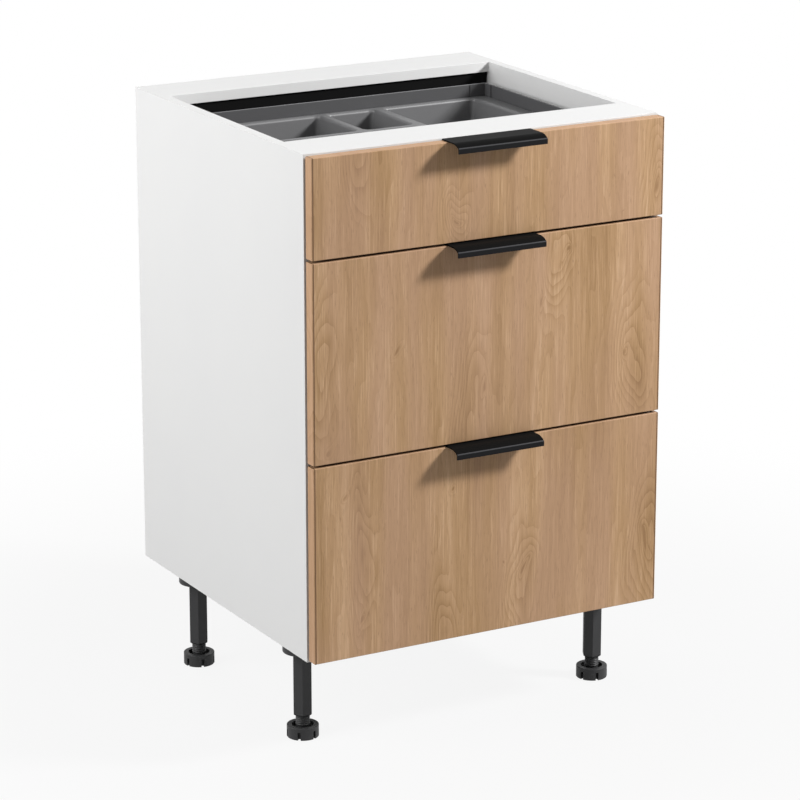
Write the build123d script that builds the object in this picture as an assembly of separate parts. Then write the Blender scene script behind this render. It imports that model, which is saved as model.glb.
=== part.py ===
from build123d import *
from math import cos, radians, sin
import os

# Kitchen drawer base cabinet, millimetres.
# X runs to the right, Y from the fronts to the back, Z up from the floor.
# The origin is on the floor, in the middle of the overall width and depth.

# Carcass of melamine-faced board on four screw feet
carcass_width = 600.0
carcass_depth = 560.0
carcass_height = 768.0
board = 16.0
leg_height = 156.0
rail_width = 90.0
board_edge_round = 0.5

# Thin back panel held in grooves, set forward to leave room for pipes behind it
back_thickness = 3.0
back_setback = 82.0
groove_depth = 6.0
groove_clearance = 0.15
groove_end_clearance = 0.6

# Dowels, cam bolts and cam locks at the board ends
dowel_radius = 4.0
dowel_length = 30.0
dowel_in_side = 11.0
fastener_inset = 26.0
fastener_pitch = 32.0
cam_radius = 7.5
cam_height = 12.5
cam_distance = 30.0
cam_slot_width = 2.0
cam_slot_depth = 2.5
bolt_radius = 3.0
bolt_in_side = 11.0
fit_clearance = 0.08
bore_end_clearance = 0.5

# Drawer fronts
front_thickness = 19.0
front_clearance = 3.0
front_side_reveal = 1.5
front_bottom_reveal = 3.0
front_gap = 4.0
top_front_height = 150.0
front_edge_round = 1.2
bumper_radius = 4.0
bumper_gap = 0.2
bumper_inset = 24.0

# Edge pull, one bent plate over the top of each front
handle_length = 150.0
handle_plate = 2.0
handle_flat = 14.0
handle_bend_radius = 26.0
handle_bend_angle = 36.0
handle_nose_radius = 4.0
handle_lip_drop = 12.0
handle_leg_drop = 18.0
handle_leg_sink = 0.3
handle_end_chamfer = 0.3
handle_side_clearance = 0.3

# Screws, shared by the handles, brackets and runners
screw_radius = 1.8
screw_length = 13.0
screw_head_radius = 3.4
screw_head_height = 1.6
screw_drive_radius = 1.5
handle_screw_spacing = 110.0
handle_screw_drop = 10.0

# Three-piece telescopic runners
runner_length = 450.0
runner_setback = 3.0
runner_half_height = 22.7
runner_steel = 1.2
runner_depth = 13.0
cabinet_member_depth = 9.0
middle_half_height = 18.0
middle_start = 2.0
middle_web_start = 5.4
middle_end = 11.0
middle_shortening = 16.0
drawer_half_height = 13.0
drawer_member_start = 7.6
drawer_member_shortening = 4.0
ball_row_width = 3.0
running_clearance = 0.3
runner_screw_inset = 40.0

# Steel drawer boxes
sheet = 1.5
drawer_length = 453.0
drawer_floor_rise = 37.0
drawer_floor = 16.0
drawer_floor_clearance = 0.5
runner_rise = 26.0
channel_depth = 4.5
channel_half_height = 15.0
side_height = 86.0
side_flange = 12.0
hem_width = 1.5
hem_height = 6.0
hem_round = 0.7
deep_back_height = 200.0
rear_bracket_width = 28.0
rear_bracket_return = 20.0
front_bracket_plate = 2.0
front_bracket_reach = 30.0
front_bracket_width = 15.5
front_bracket_base = 52.0
gallery_radius = 5.0
gallery_collar_radius = 8.0
gallery_collar_length = 6.0
gallery_drop = 16.0
gallery_inset = 13.0

# Cutlery tray, one thin moulding
tray_wall = 2.0
tray_clearance = 0.6
tray_depth = 48.0
tray_taper = 4.0
tray_corner = 8.0
tray_mouth_round = 5.0
tray_floor_round = 3.5
tray_side_ledge = 25.0
tray_rear_ledge = 8.0
tray_front_ledge = 40.0
tray_divider = 15.0
tray_wide_divider = 19.0
tray_narrow_pocket = 82.0
tray_wide_pocket = 165.0
tray_rear_pocket = 128.0

# Legs and screw feet
leg_side_inset = 41.0
leg_front_inset = 94.0
leg_rear_inset = 108.0
socket_radius = 30.0
socket_plate = 19.0
socket_edge_round = 1.5
socket_spigot_radius = 11.0
socket_spigot_length = 22.0
socket_peg_radius = 5.0
socket_peg_length = 11.0
leg_across_flats = 27.5
leg_wall_clearance = 0.4
leg_end_chamfer = 2.0
leg_turn = 3.0
foot_radius = 24.5
foot_height = 19.0
foot_edge_round = 1.0
foot_recess_radius = 17.0
foot_recess_depth = 6.0
foot_notches = 6
foot_notch_width = 4.6
foot_notch_height = 13.0
foot_notch_depth = 7.0
foot_gap = 16.0
thread_radius = 11.0
thread_depth = 1.1
thread_pitch = 3.0
thread_turns = 22
foot_turns = {"front_left": 49.0, "front_right": 19.5, "rear_left": 18.0, "rear_right": 5.0}

# Values worked out from the driving dimensions
lip_bend = radians(handle_bend_angle)
nose_forward = (handle_bend_radius - handle_nose_radius) * sin(lip_bend) + handle_nose_radius
handle_projection = handle_flat + nose_forward
total_depth = handle_projection + front_thickness + front_clearance + carcass_depth
half_width = carcass_width / 2
inner_half = half_width - board
carcass_front = handle_projection + front_thickness + front_clearance - total_depth / 2
carcass_back = carcass_front + carcass_depth
carcass_top = leg_height + carcass_height
floor_top = leg_height + board
rail_bottom = carcass_top - board
back_face = carcass_back - back_setback - back_thickness
front_back = carcass_front - front_clearance
front_face = front_back - front_thickness
front_half = half_width - front_side_reveal
front_zone_bottom = leg_height + front_bottom_reveal
front_zone_top = carcass_top - handle_plate
deep_front_height = (front_zone_top - front_zone_bottom - top_front_height - 2 * front_gap) / 2
box_half = inner_half - runner_depth
wall_out = box_half - channel_depth
wall_in = wall_out - sheet
drawer_rear = front_back + drawer_length
back_in = drawer_rear - sheet
middle_front_bottom = front_zone_bottom + deep_front_height + front_gap
top_front_bottom = middle_front_bottom + deep_front_height + front_gap
drawers = {
    "bottom": (front_zone_bottom, deep_front_height, deep_back_height),
    "middle": (middle_front_bottom, deep_front_height, deep_back_height),
    "top": (top_front_bottom, top_front_height, side_height),
}

os.makedirs("parts", exist_ok=True)


def block(x0, x1, y0, y1, z0, z1):
    """Box between two corners, given in any order."""
    centre = Pos((x0 + x1) / 2, (y0 + y1) / 2, (z0 + z1) / 2)
    return centre * Box(abs(x1 - x0), abs(y1 - y0), abs(z1 - z0))


def rod(radius, start, direction, length):
    """Cylinder of a length from a start point along a direction."""
    base = Plane(origin=start, z_dir=direction)
    return base * Cylinder(radius, length, align=(Align.CENTER, Align.CENTER, Align.MIN))


def save(node, *solids):
    """Write the solids of one node to its STEP file."""
    shape = solids[0] if len(solids) == 1 else Compound(children=list(solids))
    export_step(shape, f"parts/{node}.step")


def floor_of(drawer):
    """Height of the underside of a drawer's floor board."""
    return drawers[drawer][0] + drawer_floor_rise


def runner_height(drawer):
    """Height of the middle line of a drawer's runners."""
    return floor_of(drawer) + runner_rise


def back_groove(z0, z1, x_reach):
    """Slot for the back panel, cut into the boards around it."""
    y0 = back_face - groove_clearance
    y1 = back_face + back_thickness + groove_clearance
    return block(-x_reach, x_reach, y0, y1, z0, z1)


def board_joints():
    """Places of the dowel and cam pairs: dowel depth, cam depth and board height."""
    rows = []
    for height in (leg_height + board / 2, carcass_top - board / 2):
        front = carcass_front + fastener_inset
        rear = carcass_back - fastener_inset
        rows.append((front, front + fastener_pitch, height))
        rows.append((rear, rear - fastener_pitch, height))
    return rows


def dowel(side, depth, height, grow=0.0, extra=0.0):
    start = side * (inner_half + dowel_in_side + extra)
    return rod(dowel_radius + grow, (start, depth, height), (-side, 0, 0), dowel_length + 2 * extra)


def cam_bolt(side, depth, height, grow=0.0, extra=0.0):
    start = side * (inner_half + bolt_in_side + extra)
    length = bolt_in_side + cam_distance + 2 * extra
    return rod(bolt_radius + grow, (start, depth, height), (-side, 0, 0), length)


def cam_lock(side, depth, height, grow=0.0):
    centre = (side * (inner_half - cam_distance), depth, height - board / 2)
    return rod(cam_radius + grow, centre, (0, 0, 1), cam_height + grow)


def joint_bores():
    """Every bore that the dowels, bolts and locks need, as one cutting shape."""
    bores = []
    for side in (-1, 1):
        for dowel_y, cam_y, height in board_joints():
            bores.append(dowel(side, dowel_y, height, fit_clearance, bore_end_clearance))
            bores.append(cam_bolt(side, cam_y, height, fit_clearance, bore_end_clearance))
            bores.append(cam_lock(side, cam_y, height, fit_clearance))
    return bores


def screw(head_seat, direction):
    """Flat-headed screw: the head stands out of its seat, the shank goes along the direction."""
    head = rod(screw_head_radius, (0, 0, 0), (0, 0, -1), screw_head_height)
    shank = rod(screw_radius, (0, 0, 0), (0, 0, 1), screw_length)
    drive = rod(screw_drive_radius, (0, 0, -screw_head_height), (0, 0, 1), screw_head_height / 2)
    return Plane(origin=head_seat, z_dir=direction) * (head + shank - drive)


def screw_bore(head_seat, direction):
    return rod(screw_radius + fit_clearance, head_seat, direction, screw_length + bore_end_clearance)


def runner_screw_places(drawer, side):
    """Head seats of the screws that hold a runner to a side panel."""
    x = side * (inner_half - runner_steel)
    first = carcass_front + runner_setback + runner_screw_inset
    last = carcass_front + runner_setback + runner_length - runner_screw_inset
    return [(x, y, runner_height(drawer)) for y in (first, last)]


def side_panel(side):
    panel = block(side * inner_half, side * half_width, carcass_front, carcass_back, leg_height, carcass_top)
    panel = fillet(panel.edges().group_by(Axis.X)[-1 if side > 0 else 0], board_edge_round)
    panel -= back_groove(floor_top - groove_depth, rail_bottom + groove_depth, inner_half + groove_depth)
    panel -= joint_bores()
    for drawer in drawers:
        panel -= [screw_bore(seat, (side, 0, 0)) for seat in runner_screw_places(drawer, side)]
    return panel


def cross_board(y0, y1, z0):
    """Board between the two side panels, with rounded long edges and its fastener bores."""
    plank = block(-inner_half, inner_half, y0, y1, z0, z0 + board)
    return fillet(plank.edges().filter_by(Axis.X), board_edge_round) - joint_bores()


def leg_places():
    x = half_width - leg_side_inset
    front = carcass_front + leg_front_inset
    rear = carcass_back - leg_rear_inset
    return {
        "front_left": (-x, front),
        "front_right": (x, front),
        "rear_left": (-x, rear),
        "rear_right": (x, rear),
    }


def bottom_panel():
    panel = cross_board(carcass_front, carcass_back, leg_height)
    panel -= back_groove(floor_top - groove_depth, floor_top, half_width)
    for x, y in leg_places().values():
        reach = socket_peg_length + bore_end_clearance
        panel -= rod(socket_peg_radius + fit_clearance, (x, y, leg_height), (0, 0, 1), reach)
    return panel


def back_panel():
    reach = inner_half + groove_depth - groove_end_clearance
    top = rail_bottom + groove_depth - groove_end_clearance
    return block(-reach, reach, back_face, back_face + back_thickness, floor_top - groove_depth, top)


def carcass():
    save("left_side_panel", side_panel(-1))
    save("right_side_panel", side_panel(1))
    save("bottom_panel", bottom_panel())
    save("back_panel", back_panel())
    save("front_top_rail", cross_board(carcass_front, carcass_front + rail_width, rail_bottom))
    rear_rail = cross_board(carcass_back - rail_width, carcass_back, rail_bottom)
    save("rear_top_rail", rear_rail - back_groove(rail_bottom, rail_bottom + groove_depth, half_width))
    dowels = []
    bolts = []
    locks = []
    for side in (-1, 1):
        for dowel_y, cam_y, height in board_joints():
            dowels.append(dowel(side, dowel_y, height))
            bolts.append(cam_bolt(side, cam_y, height))
            lock = cam_lock(side, cam_y, height) - cam_bolt(side, cam_y, height, fit_clearance, bore_end_clearance)
            x = side * (inner_half - cam_distance)
            face = height - board / 2
            half_slot = cam_slot_width / 2
            reach = cam_radius / 2
            lock -= block(x - half_slot, x + half_slot, cam_y - reach, cam_y + reach, face, face + cam_slot_depth)
            lock -= block(x - reach, x + reach, cam_y - half_slot, cam_y + half_slot, face, face + cam_slot_depth)
            locks.append(lock)
    save("panel_dowels", *dowels)
    save("cam_bolts", *bolts)
    save("cam_locks", *locks)


def handle_outline(rear):
    """Closed section of the edge pull in the Y, Z plane, from the front's upper front edge."""
    turn = handle_bend_angle
    bend = (-handle_flat, handle_plate - handle_bend_radius)
    reach = handle_bend_radius - handle_nose_radius
    nose = (bend[0] - reach * sin(lip_bend), bend[1] + reach * cos(lip_bend))
    outer_lip = nose[0] - handle_nose_radius
    inner_lip = outer_lip + handle_plate
    leg_front = rear - handle_plate
    return [
        Polyline((-handle_flat, 0), (leg_front, 0), (leg_front, -handle_leg_drop), (rear, -handle_leg_drop)),
        Polyline((rear, -handle_leg_drop), (rear, handle_plate), (-handle_flat, handle_plate)),
        CenterArc(bend, handle_bend_radius, 90, turn),
        CenterArc(nose, handle_nose_radius, 90 + turn, 90 - turn),
        Polyline((outer_lip, nose[1]), (outer_lip, -handle_lip_drop), (inner_lip, -handle_lip_drop)),
        Line((inner_lip, -handle_lip_drop), (inner_lip, nose[1])),
        CenterArc(nose, handle_nose_radius - handle_plate, 180, turn - 90),
        CenterArc(bend, handle_bend_radius - handle_plate, 90 + turn, -turn),
    ]


def handle_screw_seats(top):
    """Head seats of the two screws, on the back of the handle's leg."""
    y = front_back - handle_leg_sink
    z = top - handle_screw_drop
    return [(x, y, z) for x in (-handle_screw_spacing / 2, handle_screw_spacing / 2)]


def handle_screw(seat, grow=0.0):
    """Countersunk screw, flush with the back of the handle's leg."""
    x, y, z = seat
    height = handle_plate
    head = Plane(origin=(x, y, z), z_dir=(0, -1, 0)) * Cone(
        screw_head_radius + grow, screw_radius + grow, height, align=(Align.CENTER, Align.CENTER, Align.MIN)
    )
    return head + rod(screw_radius + grow, (x, y, z), (0, -1, 0), screw_length + grow)


def handle(top):
    rear = front_thickness - handle_leg_sink
    section_plane = Plane(origin=(-handle_length / 2, front_face, top), x_dir=(0, 1, 0), z_dir=(1, 0, 0))
    face = make_face(handle_outline(rear))
    plate = extrude(section_plane * face, amount=handle_length)
    ends = plate.faces().group_by(Axis.X)
    plate = chamfer(ends[0].edges() + ends[-1].edges(), handle_end_chamfer)
    return plate - [handle_screw(seat, fit_clearance) for seat in handle_screw_seats(top)]


def front_bracket_places(drawer):
    """Low and high ends of the front brackets."""
    low = floor_of(drawer) + front_bracket_base
    return low, floor_of(drawer) + side_height - hem_height - running_clearance


def front_bracket_seats(drawer):
    low, high = front_bracket_places(drawer)
    x = wall_out + front_bracket_plate + (front_bracket_width - front_bracket_plate) / 2
    y = front_back + front_bracket_plate
    return [(side * x, y, (low + high) / 2) for side in (-1, 1)]


def drawer_front(drawer):
    bottom, height, _ = drawers[drawer]
    top = bottom + height
    panel = block(-front_half, front_half, front_face, front_back, bottom, top)
    panel = fillet(panel.edges(), front_edge_round)
    leg_reach = handle_length / 2 + handle_side_clearance
    leg_front = front_back - handle_leg_sink - handle_plate
    panel -= block(-leg_reach, leg_reach, leg_front, front_back, top - handle_leg_drop - handle_side_clearance, top)
    panel -= [handle_screw(seat, fit_clearance) for seat in handle_screw_seats(top)]
    panel -= [screw_bore(seat, (0, -1, 0)) for seat in front_bracket_seats(drawer)]
    return panel


def bumpers(drawer):
    bottom, height, _ = drawers[drawer]
    x = inner_half + board / 2
    places = []
    for side in (-1, 1):
        for z in (bottom + bumper_inset, bottom + height - bumper_inset):
            places.append(rod(bumper_radius, (side * x, front_back, z), (0, 1, 0), front_clearance - bumper_gap))
    return places


def drawer_side(drawer, side):
    """Folded steel side: foot flange, runner channel and hemmed top."""
    low = floor_of(drawer)
    middle = runner_height(drawer)
    under = low - sheet
    channel_low = middle - channel_half_height
    channel_high = middle + channel_half_height
    top = low + side_height

    def strip(x0, x1, z0, z1):
        return block(side * x0, side * x1, front_back, drawer_rear, z0, z1)

    folded = strip(wall_in - side_flange, wall_out, under, low)
    folded += strip(wall_in, wall_out, under, channel_low + sheet)
    folded += strip(wall_in, box_half, channel_low, channel_low + sheet)
    folded += strip(box_half - sheet, box_half, channel_low, channel_high)
    folded += strip(wall_in, box_half, channel_high - sheet, channel_high)
    folded += strip(wall_in, wall_out, channel_high - sheet, top)
    folded += strip(wall_in, wall_out + hem_width, top - hem_height, top)
    return fillet(folded.faces().sort_by(Axis.Z)[-1].edges().filter_by(Axis.Y), hem_round)


def drawer_back(drawer):
    low = floor_of(drawer)
    top = low + drawers[drawer][2]
    panel = block(-wall_in, wall_in, back_in, drawer_rear, low, top)
    panel += block(-wall_in, wall_in, back_in, drawer_rear + hem_width, top - hem_height, top)
    return fillet(panel.faces().sort_by(Axis.Z)[-1].edges().filter_by(Axis.X), hem_round)


def drawer_floor_board(drawer):
    low = floor_of(drawer)
    reach = wall_in - drawer_floor_clearance
    return block(-reach, reach, front_back, back_in - drawer_floor_clearance, low, low + drawer_floor)


def drawer_brackets(drawer):
    """Two angle brackets on the front and two in the rear corners."""
    brackets = []
    low, high = front_bracket_places(drawer)
    base = floor_of(drawer) + drawer_floor
    top = floor_of(drawer) + drawers[drawer][2]
    for side in (-1, 1):
        plate_in = side * wall_out
        plate_out = side * (wall_out + front_bracket_plate)
        tab_out = side * (wall_out + front_bracket_width)
        tab_back = front_back + front_bracket_plate
        angle = block(plate_in, plate_out, front_back, front_back + front_bracket_reach, low, high)
        angle += block(plate_in, tab_out, front_back, tab_back, low, high)
        angle -= [screw_bore(seat, (0, -1, 0)) for seat in front_bracket_seats(drawer)]
        brackets.append(angle)
        corner = side * wall_in
        inner = side * (wall_in - rear_bracket_width)
        angle = block(corner, inner, back_in - sheet, back_in, base, top)
        angle += block(corner, side * (wall_in - sheet), back_in - rear_bracket_return, back_in, base, top)
        brackets.append(angle)
    return brackets


def gallery_rails(drawer):
    """Round rails above the low sides of a deep drawer."""
    z = floor_of(drawer) + drawers[drawer][2] - gallery_drop
    rails = []
    for side in (-1, 1):
        start = (side * (wall_in - gallery_inset), front_back, z)
        rail = rod(gallery_radius, start, (0, 1, 0), back_in - sheet - front_back)
        rails.append(rail + rod(gallery_collar_radius, start, (0, 1, 0), gallery_collar_length))
    return rails


def runner_bar(drawer, side, y0, y1):
    """Return a function that makes bars of a runner, measured from the side panel inwards."""
    middle = runner_height(drawer)

    def bar(u0, u1, v0, v1):
        return block(side * (inner_half - u0), side * (inner_half - u1), y0, y1, middle + v0, middle + v1)

    return bar


def cabinet_runner(drawer, side):
    start = carcass_front + runner_setback
    bar = runner_bar(drawer, side, start, start + runner_length)
    high = runner_half_height
    member = bar(0, runner_steel, -high, high)
    for flange in (-high, high - runner_steel):
        member += bar(0, cabinet_member_depth, flange, flange + runner_steel)
    return member - [screw_bore(seat, (side, 0, 0)) for seat in runner_screw_places(drawer, side)]


def middle_runner(drawer, side):
    """Middle member with its two outer ball rows, which run in the cabinet member."""
    start = carcass_front + runner_setback + running_clearance
    bar = runner_bar(drawer, side, start, start + runner_length - middle_shortening)
    high = middle_half_height
    row_end = runner_half_height - runner_steel - running_clearance
    member = bar(middle_web_start, middle_web_start + runner_steel, -high, high)
    for sign in (-1, 1):
        member += bar(middle_start, middle_end, sign * (high - runner_steel), sign * high)
        member += bar(middle_start, middle_start + ball_row_width, sign * high, sign * row_end)
    return member


def drawer_runner(drawer, side):
    """Drawer member with its two ball rows, which run in the middle member."""
    start = front_back + running_clearance
    bar = runner_bar(drawer, side, start, start + runner_length - drawer_member_shortening)
    high = drawer_half_height
    row_end = middle_half_height - runner_steel - running_clearance
    member = bar(runner_depth - runner_steel, runner_depth, -high, high)
    for sign in (-1, 1):
        member += bar(drawer_member_start, runner_depth, sign * (high - runner_steel), sign * high)
        row_start = drawer_member_start
        member += bar(row_start, row_start + ball_row_width, sign * high, sign * row_end)
    return member


def drawer(name):
    bottom, height, _ = drawers[name]
    top = bottom + height
    save(f"{name}_drawer_front", drawer_front(name))
    save(f"{name}_drawer_handle", handle(top))
    screws = [handle_screw(seat) for seat in handle_screw_seats(top)]
    screws += [screw(seat, (0, -1, 0)) for seat in front_bracket_seats(name)]
    save(f"{name}_drawer_screws", *screws)
    save(f"{name}_drawer_left_side", drawer_side(name, -1))
    save(f"{name}_drawer_right_side", drawer_side(name, 1))
    save(f"{name}_drawer_floor", drawer_floor_board(name))
    save(f"{name}_drawer_back", drawer_back(name))
    save(f"{name}_drawer_brackets", *drawer_brackets(name))
    save(f"{name}_drawer_bumpers", *bumpers(name))
    save(f"{name}_drawer_runners", drawer_runner(name, -1), drawer_runner(name, 1))
    save(f"{name}_middle_runners", middle_runner(name, -1), middle_runner(name, 1))
    save(f"{name}_cabinet_runners", cabinet_runner(name, -1), cabinet_runner(name, 1))


def runner_screws():
    screws = []
    for name in drawers:
        for side in (-1, 1):
            screws += [screw(seat, (side, 0, 0)) for seat in runner_screw_places(name, side)]
    save("runner_screws", *screws)


def tray_pockets():
    """Low and high corners of each pocket's mouth."""
    left = -(wall_in - sheet - tray_clearance) + tray_side_ledge
    right = -left
    front = front_back + tray_front_ledge
    rear = back_in - sheet - tray_clearance - tray_rear_ledge
    wide = right - tray_wide_pocket
    narrow_end = wide - tray_wide_divider
    narrow = narrow_end - tray_narrow_pocket
    left_end = narrow - tray_divider
    rear_start = rear - tray_rear_pocket
    front_end = rear_start - tray_divider
    halfway = (left + left_end) / 2
    return [
        (wide, right, front, rear),
        (narrow, narrow_end, rear_start, rear),
        (narrow, narrow_end, front, front_end),
        (left, left_end, rear_start, rear),
        (left, halfway - tray_divider / 2, front, front_end),
        (halfway + tray_divider / 2, left_end, front, front_end),
    ]


def tub(pocket, top, grow, depth):
    """Tapered pocket with rounded corners and a rounded floor edge."""
    x0, x1, y0, y1 = pocket
    mouth = RectangleRounded(x1 - x0 + 2 * grow, y1 - y0 + 2 * grow, tray_corner + grow)
    shape = extrude(Pos((x0 + x1) / 2, (y0 + y1) / 2, top) * mouth, amount=-depth, taper=tray_taper)
    return fillet(shape.faces().sort_by(Axis.Z)[0].edges(), tray_floor_round + grow)


def tubs_under_plate(plate, top, grow, depth, round_radius):
    """A plate joined to all pockets below it, with the pocket mouths rounded."""
    shape = plate
    for pocket in tray_pockets():
        shape += tub(pocket, top, grow, depth)
    mouths = [edge for edge in shape.edges() if inside_plate(edge, top, plate)]
    return fillet(mouths, round_radius)


def inside_plate(edge, height, plate):
    """True for an edge at a height that doesn't lie on the plate's own rim."""
    box = edge.bounding_box()
    rim = plate.bounding_box()
    level = abs(box.min.Z - height) < tray_clearance / 2 and abs(box.max.Z - height) < tray_clearance / 2
    clear_x = box.min.X > rim.min.X + tray_clearance and box.max.X < rim.max.X - tray_clearance
    clear_y = box.min.Y > rim.min.Y + tray_clearance and box.max.Y < rim.max.Y - tray_clearance
    return level and clear_x and clear_y


def cutlery_tray():
    """Thin moulding that stands on the top drawer's floor."""
    base = floor_of("top") + drawer_floor
    top = base + tray_depth + tray_wall
    reach = wall_in - sheet - tray_clearance
    y0 = front_back + tray_clearance
    y1 = back_in - sheet - tray_clearance
    plate = block(-reach, reach, y0, y1, top - tray_wall, top)
    outside = tubs_under_plate(plate, top - tray_wall, tray_wall, tray_depth, tray_mouth_round - tray_wall)
    above = block(-half_width, half_width, carcass_front - carcass_depth, carcass_back, top, top + tray_depth)
    inside = tubs_under_plate(above, top, 0.0, tray_depth, tray_mouth_round)
    save("cutlery_tray", outside - inside)


def leg_socket(x, y):
    plate_low = leg_height - socket_plate
    socket = rod(socket_radius, (x, y, plate_low), (0, 0, 1), socket_plate)
    socket = fillet(socket.edges().filter_by(GeomType.CIRCLE).sort_by(Axis.Z)[0], socket_edge_round)
    socket += rod(socket_spigot_radius, (x, y, plate_low), (0, 0, -1), socket_spigot_length)
    return socket + rod(socket_peg_radius, (x, y, leg_height), (0, 0, 1), socket_peg_length)


def leg_tube(x, y):
    """Hexagonal tube between the socket plate and the screw foot."""
    low = foot_height + foot_gap
    high = leg_height - socket_plate
    hexagon = RegularPolygon(leg_across_flats / 2, 6, major_radius=False)
    tube = extrude(Pos(x, y, low) * Rot(0, 0, leg_turn) * hexagon, amount=high - low)
    tube = chamfer(tube.faces().sort_by(Axis.Z)[0].edges(), leg_end_chamfer)
    return tube - rod(thread_radius + leg_wall_clearance, (x, y, low), (0, 0, 1), high - low)


def foot(x, y, turn):
    """Notched foot with a recess around its threaded spindle, one moulding."""
    disc = Cylinder(foot_radius, foot_height, align=(Align.CENTER, Align.CENTER, Align.MIN))
    disc = fillet(disc.edges().filter_by(GeomType.CIRCLE), foot_edge_round)
    reach = foot_radius - foot_notch_depth
    notch = block(reach, 2 * foot_radius, -foot_notch_width / 2, foot_notch_width / 2, 0, foot_notch_height)
    for count in range(foot_notches):
        disc -= Rot(0, 0, turn + count * 360 / foot_notches) * notch
    spindle_low = foot_height - foot_recess_depth
    disc -= rod(foot_recess_radius, (0, 0, spindle_low), (0, 0, 1), foot_recess_depth)
    root = thread_radius - thread_depth
    points = [(0, spindle_low), (root, spindle_low), (root, foot_height)]
    for count in range(thread_turns):
        level = foot_height + count * thread_pitch
        points.append((thread_radius, level + thread_pitch / 3))
        points.append((thread_radius, level + thread_pitch / 2))
        points.append((root, level + thread_pitch))
    points.append((0, foot_height + thread_turns * thread_pitch))
    outline = Plane.XZ * make_face(Polyline(points, close=True))
    return Pos(x, y, 0) * (disc + revolve(outline, Axis.Z))


def legs():
    places = leg_places()
    save("leg_sockets", *[leg_socket(x, y) for x, y in places.values()])
    for corner, (x, y) in places.items():
        save(f"leg_tube_{corner}", leg_tube(x, y))
        save(f"foot_{corner}", foot(x, y, foot_turns[corner]))


carcass()
for drawer_name in drawers:
    drawer(drawer_name)
for deep_drawer in ("middle", "bottom"):
    save(f"{deep_drawer}_drawer_gallery_rails", *gallery_rails(deep_drawer))
runner_screws()
cutlery_tray()
legs()
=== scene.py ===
# %% [markdown]
# # A kitchen drawer cabinet, dressed on its solid frame
# The solids are already at their real size and place, in metres, so this lesson gives them their looks and
# adds the small pieces that are easier to shape here. The solids are loaded first and never moved.
# The box around them is kept.

# %% Load the frame
import math
import bmesh
import bpy
from mathutils import Matrix, Vector


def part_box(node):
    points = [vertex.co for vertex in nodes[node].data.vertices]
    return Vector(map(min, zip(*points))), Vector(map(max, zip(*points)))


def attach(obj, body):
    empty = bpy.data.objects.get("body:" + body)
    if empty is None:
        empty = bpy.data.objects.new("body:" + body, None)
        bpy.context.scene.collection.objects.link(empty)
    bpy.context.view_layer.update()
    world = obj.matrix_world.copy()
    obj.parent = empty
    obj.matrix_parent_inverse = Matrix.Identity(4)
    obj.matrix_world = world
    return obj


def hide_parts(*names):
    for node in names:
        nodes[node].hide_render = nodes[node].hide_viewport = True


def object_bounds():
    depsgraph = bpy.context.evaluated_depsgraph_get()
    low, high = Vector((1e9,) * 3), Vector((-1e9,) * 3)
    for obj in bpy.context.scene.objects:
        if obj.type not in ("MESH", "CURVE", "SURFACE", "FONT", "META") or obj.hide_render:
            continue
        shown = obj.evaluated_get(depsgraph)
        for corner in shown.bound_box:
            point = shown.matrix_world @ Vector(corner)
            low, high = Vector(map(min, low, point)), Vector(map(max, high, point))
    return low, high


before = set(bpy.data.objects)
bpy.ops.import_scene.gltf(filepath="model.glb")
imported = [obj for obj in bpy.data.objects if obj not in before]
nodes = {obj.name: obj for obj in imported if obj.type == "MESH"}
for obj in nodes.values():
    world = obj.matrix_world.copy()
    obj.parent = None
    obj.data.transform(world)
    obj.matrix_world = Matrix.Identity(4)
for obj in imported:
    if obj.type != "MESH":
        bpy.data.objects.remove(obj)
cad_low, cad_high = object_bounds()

scene = bpy.context.scene
MM = 0.001
drawer_names = ("top", "middle", "bottom")
print("frame:", len(nodes), "nodes, size", [round(v, 3) for v in cad_high - cad_low])

# %% [markdown]
# ## Camera
# The photograph was taken from the left of the fronts, a little above, through a long lens.
# A camera set by eye would leave edges a few pixels off, so its place, turn and lens were worked out from the
# cabinet's straight edges. The lens has no shift, so other views stay true.

# %% Camera
CAMERA_PLACE = Vector((-2.5360, -4.5303, 1.9830))
TURN = math.radians(29.235)
TILT = math.radians(16.420)
camera_data = bpy.data.cameras.new("camera")
camera_data.sensor_width = 36.0
camera_data.lens = 156.39
camera = bpy.data.objects.new("camera", camera_data)
scene.collection.objects.link(camera)
camera.location = CAMERA_PLACE
camera.rotation_euler = (math.pi / 2 - TILT, 0.0, -TURN)
scene.camera = camera
print("camera at", [round(v, 3) for v in camera.location])


# %% [markdown]
# ## Lamps
# As for a catalogue picture, soft lamps stand around the cabinet. The key lamp stands high on the right, so
# the handles' shadows fall down to the left and the fronts are a little brighter towards it. A wide fill on
# the left opens the white side panel and the inside, and a low lamp behind the cabinet keeps its back from
# going dark. That one would glare on the top towards the camera, so it is kept out of reflections.
# A lamp's power could be tried out by hand. Here it follows from the brightness that the lamp should give, so
# a lamp can be moved and keeps its effect.

# %% Lamps
def lamp(name, towards, distance, size, level, glossy=True):
    """Square area lamp; level is the brightness that it alone gives a white card facing it.

    The lamp sends 1 / pi of its power straight ahead, and the card returns 1 / pi of what it gets.
    """
    data = bpy.data.lights.new(name, "AREA")
    data.shape = "SQUARE"
    data.size = size
    data.energy = level * math.pi ** 2 * distance ** 2
    thing = bpy.data.objects.new(name, data)
    thing.visible_glossy = glossy
    scene.collection.objects.link(thing)
    direction = Vector(towards).normalized()
    thing.location = (cad_low + cad_high) / 2 + direction * distance
    thing.rotation_euler = direction.to_track_quat("Z", "Y").to_euler()


lamp("key", (0.65, -0.49, 0.56), distance=4.2, size=0.70, level=1.18)
lamp("fill", (-0.90, 0.14, 0.48), distance=2.8, size=1.9, level=0.75)
lamp("back", (-0.10, 0.98, 0.16), distance=3.0, size=1.6, level=0.42, glossy=False)
print("lamps:", len(bpy.data.lights))


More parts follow.
